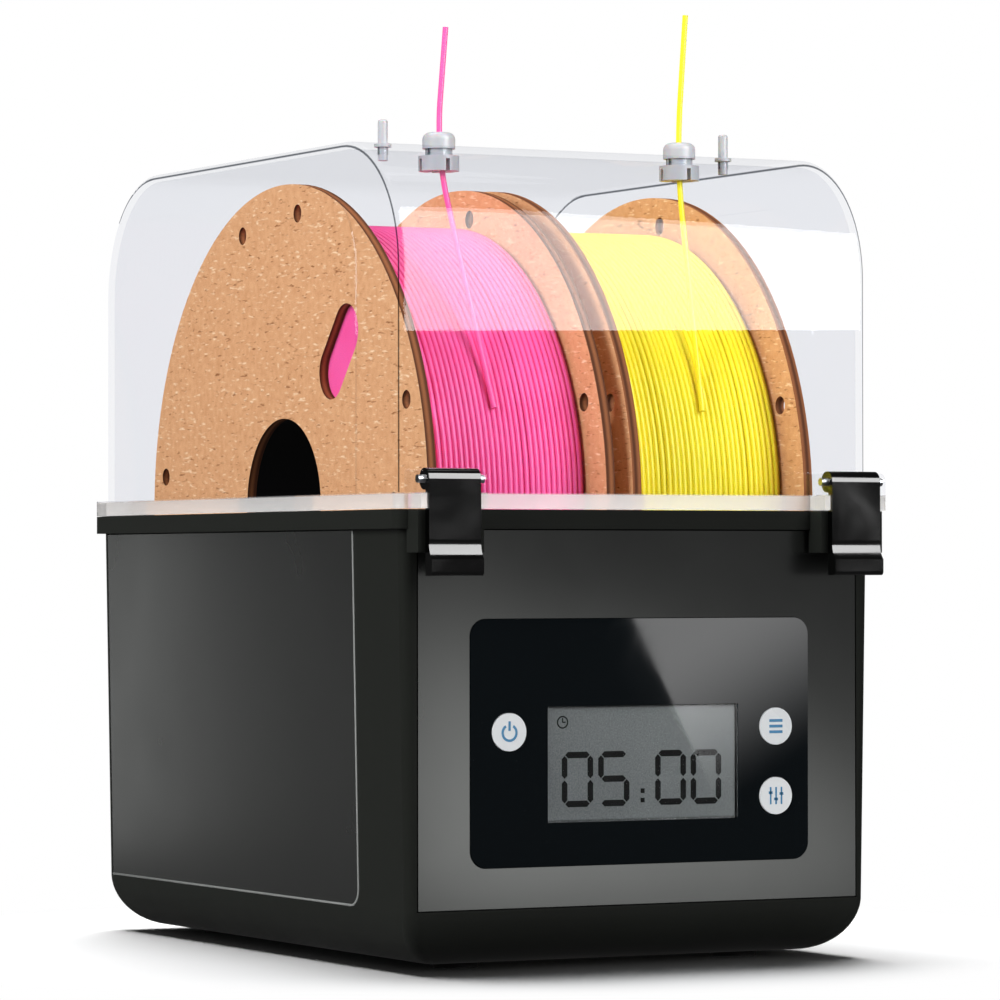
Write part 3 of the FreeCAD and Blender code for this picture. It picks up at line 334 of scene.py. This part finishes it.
def display_cell():
    """Reflective display cell: silvery green-grey, with painted light making it a little brighter towards
    its upper right.
    """
    made, tree, shader = finish("display cell", Specular_IOR_Level=0.3)
    spot = put(tree, "ShaderNodeTexCoord").outputs["Object"]
    grain = put(tree, "ShaderNodeTexNoise", {"Vector": spot, "Scale": 2200.0, "Detail": 2.0})
    axes = put(tree, "ShaderNodeSeparateXYZ", {"Vector": spot})
    # Painted light: the cell's grey is made lighter towards its upper right
    lean = put(tree, "ShaderNodeMath", {0: axes.outputs["X"], 1: axes.outputs["Z"]}, operation="ADD")
    bright = spread(tree, lean.outputs[0], 0.03, 0.11, 0.0, 1.0)
    base = blended(tree, bright, rgb(60, 64, 64), rgb(80, 84, 83))
    sparkle = spread(tree, grain.outputs["Fac"], 0.3, 0.7, 0.0, 0.06)
    tree.links.new(blended(tree, sparkle, base, rgb(230, 235, 235)), shader.inputs["Base Color"])
    tree.links.new(spread(tree, grain.outputs["Fac"], 0.3, 0.7, 0.4, 0.5), shader.inputs["Roughness"])
    return made


def circuit_board():
    """Green solder mask with a faint weave and copper tracks below it."""
    made, tree, shader = finish("circuit board", Coat_Weight=0.3)
    spot = put(tree, "ShaderNodeTexCoord").outputs["Object"]
    tracks = put(tree, "ShaderNodeTexBrick",
                 {"Vector": spot, "Scale": 140.0, "Color1": (0, 0, 0, 1), "Color2": (0.1, 0.1, 0.1, 1),
                  "Mortar": (1, 1, 1, 1), "Mortar Size": 0.03})
    green = blended(tree, tracks.outputs["Color"], rgb(20, 74, 42), rgb(44, 110, 60))
    tree.links.new(green, shader.inputs["Base Color"])
    weave = put(tree, "ShaderNodeTexNoise", {"Vector": spot, "Scale": 900.0})
    tree.links.new(spread(tree, weave.outputs["Fac"], 0.3, 0.7, 0.3, 0.45), shader.inputs["Roughness"])
    return made


FINISHES = {
    "black_shell": moulded("black shell", rgb(26, 27, 25), rgb(31, 33, 30), gloss=0.4, matt=0.5,
                           Specular_IOR_Level=0.25),
    "grey_panel": moulded("gunmetal panel", rgb(150, 152, 150), rgb(162, 164, 162), gloss=0.23,
                          matt=0.28, relief=0.00001, Metallic=1.0),
    # The lid's second colour is its painted edge shade, and below 0.1404 m its rim turns milky as a
    # painted reflection
    "clear_lid": clear_sheet("clear lid", (0.964, 0.968, 0.98, 1), (0.16, 0.17, 0.19, 1), 0.1404),
    "black_latch": polished("black latch", rgb(6, 6, 6), rgb(90, 90, 90), 0.1, 0.2, Coat_Weight=0.3),
    "seal_rubber": moulded("seal rubber", rgb(24, 24, 24), rgb(32, 32, 32), grain=900.0, gloss=0.7,
                           matt=0.85),
    "grey_silicone": moulded("grey silicone", rgb(182, 185, 190), rgb(204, 206, 210), gloss=0.3,
                             matt=0.42, Subsurface_Weight=0.3, Subsurface_Scale=0.003,
                             Transmission_Weight=0.25),
    "steel": brushed("drawn steel", rgb(150, 152, 156), rgb(196, 198, 202), 0.25, 0.38),
    "roller_plastic": moulded("pale roller plastic", rgb(205, 204, 198), rgb(222, 221, 216), gloss=0.4,
                              matt=0.55),
    "liner_plastic": moulded("dark liner plastic", rgb(7, 7, 8), rgb(11, 11, 12), grain=800.0,
                             gloss=0.5, matt=0.65, Specular_IOR_Level=0.05),
    "heater_fins": brushed("heater fins", rgb(176, 178, 180), rgb(214, 215, 217), 0.3, 0.45),
    "fan_plastic": moulded("fan plastic", rgb(22, 22, 23), rgb(32, 32, 33), gloss=0.45, matt=0.6),
    "circuit_board": circuit_board(),
    "bezel_black": polished("bezel gloss", rgb(9, 14, 17), rgb(110, 115, 120), 0.02, 0.05,
                            Specular_IOR_Level=0.3),
    "display_glass": clear_plastic("display glass", (0.97, 0.98, 0.99, 1), 0.01, 0.03, 1.3),
    "display_cell": display_cell(),
    "button_white": moulded("button white", rgb(242, 247, 250), rgb(250, 252, 254), gloss=0.25,
                            matt=0.35),
    "kraft_card": kraft_card(),
    "pink_filament": filament_plastic("pink filament", rgb(250, 76, 150), rgb(255, 110, 180)),
    "yellow_filament": filament_plastic("yellow filament", rgb(253, 230, 32), rgb(255, 243, 64)),
}
SLOT_OF = {entry["node"]: entry["material_slot"] for entry in frame["record"]["subparts"]}
for node, piece in frame["nodes"].items():
    piece.data.materials.clear()
    piece.data.materials.append(FINISHES[SLOT_OF[node]])


# New pieces

def keep(piece, body, slot, replaced=(), look=None):
    """Gives a new piece its finish, its body and its place in the part."""
    piece.data.materials.append(look or FINISHES[slot])
    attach(piece, body)
    if replaced:
        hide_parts(*replaced)


def mesh_piece(name, points, faces, smooth=False):
    """A mesh object from points in millimetres."""
    mesh = bpy.data.meshes.new(name)
    mesh.from_pydata([Vector(p) * MM for p in points], [], faces)
    work = bmesh.new()
    work.from_mesh(mesh)
    bmesh.ops.recalc_face_normals(work, faces=work.faces)
    work.to_mesh(mesh)
    work.free()
    for face in mesh.polygons:
        face.use_smooth = smooth
    piece = bpy.data.objects.new(name, mesh)
    bpy.context.scene.collection.objects.link(piece)
    return piece


def swept(name, path, radius, sides=8):
    """A round tube along points in millimetres, with capped ends."""
    points, faces = [], []
    count = len(path)
    normal = None
    for n in range(count):
        ahead = Vector(path[min(n + 1, count - 1)])
        behind = Vector(path[max(n - 1, 0)])
        way = (ahead - behind).normalized()
        if normal is None:
            normal = way.orthogonal().normalized()
        normal = (normal - way * normal.dot(way)).normalized()
        across = way.cross(normal)
        for k in range(sides):
            turn = 2 * math.pi * k / sides
            points.append(Vector(path[n]) + (normal * math.cos(turn) + across * math.sin(turn)) * radius)
    for n in range(count - 1):
        row, following = n * sides, (n + 1) * sides
        for k in range(sides):
            step = (k + 1) % sides
            faces.append((row + k, row + step, following + step, following + k))
    faces.append(tuple(range(sides)))
    faces.append(tuple((count - 1) * sides + k for k in range(sides)))
    return mesh_piece(name, points, faces, smooth=True)


def wound_turns(name, low_x, high_x, turns, steps, seed):
    """The outer layer of a spool: turns side by side, with the odd wider gap of a winder."""
    chance = random.Random(seed)
    gaps = []
    for _ in range(turns):
        wider = 0.2 if chance.random() < 0.2 else 0.0
        gaps.append(1.0 + wider + chance.uniform(-0.015, 0.015))
    scale = (high_x - low_x - FILAMENT) / sum(gaps)
    ends = [low_x + FILAMENT / 2]
    for gap in gaps:
        ends.append(ends[-1] + gap * scale)
    path = []
    for n in range(turns * steps + 1):
        turn, part = divmod(n, steps)
        along = ends[turn] + (ends[min(turn + 1, turns)] - ends[turn]) * part / steps
        angle = 2 * math.pi * part / steps
        radius = WOUND_RADIUS - FILAMENT / 2 - BEDDED
        path.append((along, radius * math.cos(angle), SPOOL_Z + radius * math.sin(angle)))
    return swept(name, path, FILAMENT / 2, sides=10)


def flat_marks(name, outlines, y, deep):
    """Flat marks on a face that looks to the front: outlines in X and Z, raised by deep."""
    points, faces = [], []
    for outline in outlines:
        start, count = len(points), len(outline)
        points += [(x, y, z) for x, z in outline] + [(x, y - deep, z) for x, z in outline]
        faces.append(tuple(start + k for k in range(count)))
        faces.append(tuple(start + count + k for k in reversed(range(count))))
        for k in range(count):
            step = (k + 1) % count
            faces.append((start + k, start + step, start + count + step, start + count + k))
    return mesh_piece(name, points, faces)


def ring_outline(x, z, radius, stroke, from_degrees, to_degrees, steps=36):
    """An open ring as one outline."""
    sweep = to_degrees - from_degrees
    turns = [math.radians(from_degrees + sweep * k / steps) for k in range(steps + 1)]
    wide, narrow = radius + stroke / 2, radius - stroke / 2
    outer = [(x + wide * math.cos(t), z + wide * math.sin(t)) for t in turns]
    inner = [(x + narrow * math.cos(t), z + narrow * math.sin(t)) for t in reversed(turns)]
    return outer + inner


def bar_outline(x, z, wide, tall):
    """A level rectangle as one outline."""
    left, right, low, high = x - wide / 2, x + wide / 2, z - tall / 2, z + tall / 2
    return [(left, low), (right, low), (right, high), (left, high)]


# Camera at the photograph's angle
CAMERA_AT = Vector((-0.72972, -1.41362, 0.11807))
YAW, PITCH, ROLL = math.radians(27.63), math.radians(0.81), math.radians(-0.07)
forward = Vector((math.sin(YAW) * math.cos(PITCH), math.cos(YAW) * math.cos(PITCH), math.sin(PITCH)))
level = Vector((math.cos(YAW), -math.sin(YAW), 0.0))
upward = level.cross(forward)
right = level * math.cos(ROLL) + upward * math.sin(ROLL)
upward = right.cross(forward)
camera = bpy.data.objects.new("camera", bpy.data.cameras.new("camera"))
camera.data.lens = 180.09
camera.data.sensor_width = 36.0
camera.data.clip_end = 50.0
camera.matrix_world = Matrix((right, upward, -forward)).transposed().to_4x4()
camera.location = CAMERA_AT
bpy.context.scene.collection.objects.link(camera)
bpy.context.scene.camera = camera

# Filament strands, from the winding out through the outlets
STRANDS = {
    "left": ("pink_filament", ((-36.0, -84.589, 166.831), (-39.6, -69.0, 213.4), (-42.0, -58.3, 245.6),
                               (-39.6, -59.0, 278.0), (-39.2, -59.1, 283.5)), 0.12087),
    "right": ("yellow_filament", ((36.0, -84.589, 166.831), (39.3, -70.3, 209.7), (42.0, -58.3, 245.6),
                                  (44.3, -59.0, 284.0), (44.8, -59.1, 291.3)), 0.12865),
}
for side, (slot, route, long) in STRANDS.items():
    curve = bpy.data.curves.new(f"{side}_filament_strand", "CURVE")
    curve.dimensions = "3D"
    curve.bevel_depth = FILAMENT / 2 * MM
    curve.bevel_resolution = 5
    curve.use_fill_caps = True
    curve.resolution_u = 24
    line = curve.splines.new("NURBS")
    line.points.add(len(route) - 1)
    for point, spot in zip(line.points, route):
        point.co = (*(Vector(spot) * MM), 1.0)
    line.order_u = 3
    line.use_endpoint_u = True
    strand = bpy.data.objects.new(f"{side}_filament_strand", curve)
    bpy.context.scene.collection.objects.link(strand)
    keep(strand, "lid", slot, [f"{side}_strand"])

# Wound filament on the spools, between their flanges
WOUND_WIDE, WOUND_GAP, WOUND_TURNS, TURN_STEPS = 57.0, 0.3, 30, 120
for side, low_x, seed in (("left", -63.0, 3), ("right", 6.0, 8)):
    slot = STRANDS[side][0]
    turns = wound_turns(f"{side}_wound_layer", low_x + WOUND_GAP, low_x + WOUND_WIDE - WOUND_GAP,
                        WOUND_TURNS, TURN_STEPS, seed)
    keep(turns, f"{side}_spool", slot, [f"{side}_filament_turns"])

# Display digits: four seven-segment figures, a colon and a small clock mark
SEGMENTS = {"0": "abcdef", "5": "acdfg"}
DIGIT_WIDE, DIGIT_TALL, STROKE, NOTCH = 10.6, 16.4, 1.9, 0.22


def segment_outline(label, x, z):
    """One bar of a figure with pointed ends, centred on x and z."""
    half_w, half_t, half_s = DIGIT_WIDE / 2 - STROKE / 2, DIGIT_TALL / 2 - STROKE / 2, STROKE / 2
    level_bars = {"a": half_t, "g": 0.0, "d": -half_t}
    if label in level_bars:
        mid, reach = z + level_bars[label], half_w - NOTCH
        return [(x - reach, mid), (x - reach + half_s, mid - half_s), (x + reach - half_s, mid - half_s),
                (x + reach, mid), (x + reach - half_s, mid + half_s), (x - reach + half_s, mid + half_s)]
    mid = x + (half_w if label in "bc" else -half_w)
    low, high = (z + NOTCH, z + half_t - NOTCH) if label in "bf" else (z - half_t + NOTCH, z - NOTCH)
    return [(mid, low), (mid + half_s, low + half_s), (mid + half_s, high - half_s), (mid, high),
            (mid - half_s, high - half_s), (mid - half_s, low + half_s)]


DIGIT_Z, COLON_X, COLON_DOT = 56.2, 0.6, 1.4
CLOCK_X, CLOCK_Z = -26.5, 73.2
INK_DEEP, MARK_DEEP = 0.06, 0.07
outlines = []
for figure, x in (("0", -21.5), ("5", -9.2), ("0", 10.2), ("0", 22.4)):
    outlines += [segment_outline(label, x, DIGIT_Z) for label in SEGMENTS[figure]]
outlines += [bar_outline(COLON_X, DIGIT_Z + dz, COLON_DOT, COLON_DOT) for dz in (-6.6, -3.8)]
outlines.append(ring_outline(CLOCK_X, CLOCK_Z, 1.7, 0.45, 0, 359.5))
outlines += [bar_outline(CLOCK_X, CLOCK_Z + 0.6, 0.4, 1.3), bar_outline(CLOCK_X + 0.5, CLOCK_Z, 1.1, 0.4)]
ink = moulded("display ink", rgb(2, 2, 2), rgb(5, 5, 5), gloss=0.5, matt=0.6, Specular_IOR_Level=0.05)
keep(flat_marks("clock_digits", outlines, LCD_FACE + BEDDED, INK_DEEP), "base", "display_cell", look=ink)

# Button marks
teal = moulded("button mark teal", rgb(16, 118, 168), rgb(24, 134, 186), gloss=0.35, matt=0.45)
BUTTON_FACE = BEZEL_FACE - BUTTON_PROUD + BEDDED
POWER_X, POWER_Z = -45.0, 70.4
RIGHT_X, MODE_Z, SET_Z = 46.0, 71.0, 50.0
power = [ring_outline(POWER_X, POWER_Z, 2.3, 0.75, 122, 418),
         bar_outline(POWER_X, POWER_Z + 2.0, 0.75, 2.8)]
keep(flat_marks("power_mark", power, BUTTON_FACE, MARK_DEEP), "power_button", "button_white", look=teal)
mode = [bar_outline(RIGHT_X, MODE_Z + dz, 4.6, 0.85) for dz in (-1.7, 0.0, 1.7)]
keep(flat_marks("mode_mark", mode, BUTTON_FACE, MARK_DEEP), "mode_button", "button_white", look=teal)
slides = []
for dx, knob in ((-1.9, 0.9), (0.0, -1.0), (1.9, 0.6)):
    slides += [bar_outline(RIGHT_X + dx, SET_Z, 0.55, 5.2),
               bar_outline(RIGHT_X + dx, SET_Z + knob, 1.35, 0.8)]
keep(flat_marks("set_mark", slides, BUTTON_FACE, MARK_DEEP), "set_button", "button_white", look=teal)

# Lighter strip round the front and lower edge of each side panel, a painted highlight for the light
# caught by the panel frame's edge
highlight_strip = moulded("panel bead", rgb(120, 122, 120), rgb(140, 142, 140), gloss=0.3, matt=0.4)
PANEL_FRONT, PANEL_LOW, PANEL_TOP, PANEL_REAR, PANEL_ROUND = -77.7, 18.6, 130.0, 106.4, 5.2
BODY_HALF, DRAFT, BASE_TOP, BASE_LOW = 80.0, 2.4, 136.0, 2.0
HIGHLIGHT_STRIP_RADIUS, HIGHLIGHT_STRIP_SUNK = 0.4, 0.1


def side_face(z):
    """Half the tub's width at a height, with its draft."""
    return BODY_HALF - DRAFT * (BASE_TOP - z) / (BASE_TOP - BASE_LOW)


edge = [(PANEL_FRONT, PANEL_TOP)]
for k in range(11):
    turn = math.radians(180 + 9 * k)
    edge.append((PANEL_FRONT + PANEL_ROUND * (1 + math.cos(turn)),
                 PANEL_LOW + PANEL_ROUND * (1 + math.sin(turn))))
edge.append((PANEL_REAR, PANEL_LOW))
for side, sign in (("left", -1), ("right", 1)):
    path = [(sign * (side_face(z) - HIGHLIGHT_STRIP_SUNK), y, z) for y, z in edge]
    keep(swept(f"{side}_panel_bead", path, HIGHLIGHT_STRIP_RADIUS), "base", "grey_panel", look=highlight_strip)

# Studio: white floor that fades into a white surround, tall window, soft box above, dim cards near by
scene = bpy.context.scene
scene.view_settings.view_transform = "Standard"


def straight_seen(tree):
    """One for camera rays and for rays through clear pieces that met no matt surface, else nought."""
    ray = put(tree, "ShaderNodeLightPath").outputs
    clear = put(tree, "ShaderNodeMath", {0: ray["Diffuse Depth"], 1: 0.5}, operation="LESS_THAN")
    through = put(tree, "ShaderNodeMath", {0: ray["Is Transmission Ray"], 1: clear.outputs[0]},
                  operation="MULTIPLY")
    either = put(tree, "ShaderNodeMath", {0: ray["Is Camera Ray"], 1: through.outputs[0]},
                 operation="MAXIMUM")
    return either.outputs[0]


world = bpy.data.worlds.new("white surround")
scene.world = world
world.use_nodes = True
sky = world.node_tree
sky.nodes.clear()
bright = spread(sky, straight_seen(sky), 0, 1, 0.04, 1.0)
surround = put(sky, "ShaderNodeBackground", {"Color": (1, 1, 1, 1), "Strength": bright})
sky.links.new(surround.outputs[0], put(sky, "ShaderNodeOutputWorld").inputs["Surface"])

FLOOR_HALF = 9000
corners = [(-FLOOR_HALF, -FLOOR_HALF, 0), (FLOOR_HALF, -FLOOR_HALF, 0),
           (FLOOR_HALF, FLOOR_HALF, 0), (-FLOOR_HALF, FLOOR_HALF, 0)]
floor = mesh_piece("studio_floor", corners, [(0, 1, 2, 3)])
paper = bpy.data.materials.new("white paper floor")
paper.use_nodes = True
tree = paper.node_tree
tree.nodes.clear()
spot = put(tree, "ShaderNodeTexCoord").outputs["Object"]
away = put(tree, "ShaderNodeVectorMath", {0: spot}, operation="LENGTH")
fade = put(tree, "ShaderNodeMapRange",
           {"Value": away.outputs["Value"], "From Min": 0.13, "From Max": 0.21},
           interpolation_type="SMOOTHSTEP")
matt = put(tree, "ShaderNodeBsdfDiffuse", {"Color": (0.9, 0.9, 0.9, 1)})
bright = spread(tree, straight_seen(tree), 0, 1, 0.3, 1.0)
glow = put(tree, "ShaderNodeEmission", {"Color": (1, 1, 1, 1), "Strength": bright})
near = put(tree, "ShaderNodeMixShader",
           {0: fade.outputs["Result"], 1: matt.outputs[0], 2: glow.outputs[0]})
glossy = put(tree, "ShaderNodeLightPath").outputs["Is Glossy Ray"]
dull = put(tree, "ShaderNodeEmission", {"Color": (1, 1, 1, 1), "Strength": 0.08})
mix = put(tree, "ShaderNodeMixShader", {0: glossy, 1: near.outputs[0], 2: dull.outputs[0]})
tree.links.new(mix.outputs[0], put(tree, "ShaderNodeOutputMaterial").inputs["Surface"])
floor.data.materials.append(paper)


def lamp(name, at, towards, wide, tall, radiance, roll=0.0, fall=None, use="both", off=(), on=()):
    """A flat lamp that looks from one point to another, in millimetres.

    fall shades it across and up, use says whether it lights, shines or both,
    and off and on name what it leaves out or reaches.
    """
    made = bpy.data.lights.new(name, "AREA")
    made.shape = "RECTANGLE"
    made.size, made.size_y = wide * MM, tall * MM
    made.energy = radiance * math.pi * made.size * made.size_y
    if fall:
        across, up, start, stop = fall
        made.use_nodes = True
        tree = made.node_tree
        face = put(tree, "ShaderNodeNewGeometry").outputs["Parametric"]
        spot = put(tree, "ShaderNodeSeparateXYZ", {"Vector": face})
        first = put(tree, "ShaderNodeMath", {0: spot.outputs["X"], 1: across}, operation="MULTIPLY")
        lean = put(tree, "ShaderNodeMath", {0: spot.outputs["Y"], 1: up, 2: first.outputs[0]},
                   operation="MULTIPLY_ADD")
        shade = put(tree, "ShaderNodeMapRange",
                    {"Value": lean.outputs[0], "From Min": start, "From Max": stop,
                     "To Min": 1.0, "To Max": 0.0}, interpolation_type="SMOOTHSTEP")
        shine = next(n for n in tree.nodes if n.bl_idname == "ShaderNodeEmission")
        tree.links.new(shade.outputs["Result"], shine.inputs["Strength"])
    holder = bpy.data.objects.new(name, made)
    holder.location = Vector(at) * MM
    aim = (Vector(towards) - Vector(at)).to_track_quat("-Z", "Y").to_matrix()
    holder.rotation_euler = (aim @ Matrix.Rotation(math.radians(roll), 3, "Z")).to_euler()
    holder.visible_camera = False
    holder.visible_diffuse = use != "shine"
    holder.visible_glossy = use != "light"
    if off or on:
        reached = bpy.data.collections.new(f"{name} reach")
        for piece in off or on:
            reached.objects.link(piece)
        for item in reached.collection_objects:
            item.light_linking.link_state = "EXCLUDE" if off else "INCLUDE"
        holder.light_linking.receiver_collection = reached
    scene.collection.objects.link(holder)


display = [frame["nodes"][node] for node in ("display_bezel", "lcd_glass")]
latches = [frame["nodes"][node] for node in ("left_latch", "right_latch")]
dim = [frame["nodes"][node]
       for node in ("front_panel", "left_side_panel", "right_side_panel", "base_tub")]
INSIDE = ("spool", "filament", "wound", "grommet", "stopper", "lid_shell")
chamber = [piece for piece in scene.objects if any(word in piece.name for word in INSIDE)]
WINDOW = ((696, -1438, 1180), (0, -109, 1180), 900, 1836)
lamp("key_window", *WINDOW, 11.0, use="shine", off=dim + display)
lamp("window_light", *WINDOW, 4.6, use="light", off=[floor])
lamp("chamber_light", *WINDOW, 7.6, use="light", on=chamber)
lamp("top_soft_box", (-100, 150, 1150), (0, 0, 120), 900, 900, 2.2, off=[floor])
lamp("left_fill", (-1100, -250, 600), (-60, 0, 160), 700, 700, 11.5, use="light", off=[floor] + latches)
lamp("floor_light", (100, 480, 1300), (0, 0, 0), 1000, 1000, 12.0, use="light", on=[floor])
lamp("front_card", (107, -300, 68.5), (107, -100, 68.5), 195, 131, 0.6,
     fall=(0.52, 0.98, 0.4, 1.03), off=display + latches)
lamp("side_card", (-230, 340, 69.5), (-80, 340, 69.5), 280, 137, 0.9, fall=(1.0, 0.0, 0.0, 0.42))
lamp("display_card", (455, -760, 76), (455, -100, 76), 150, 170, 6.2, roll=28.0,
     fall=(0.0, 1.0, 0.75, 0.3), on=display)
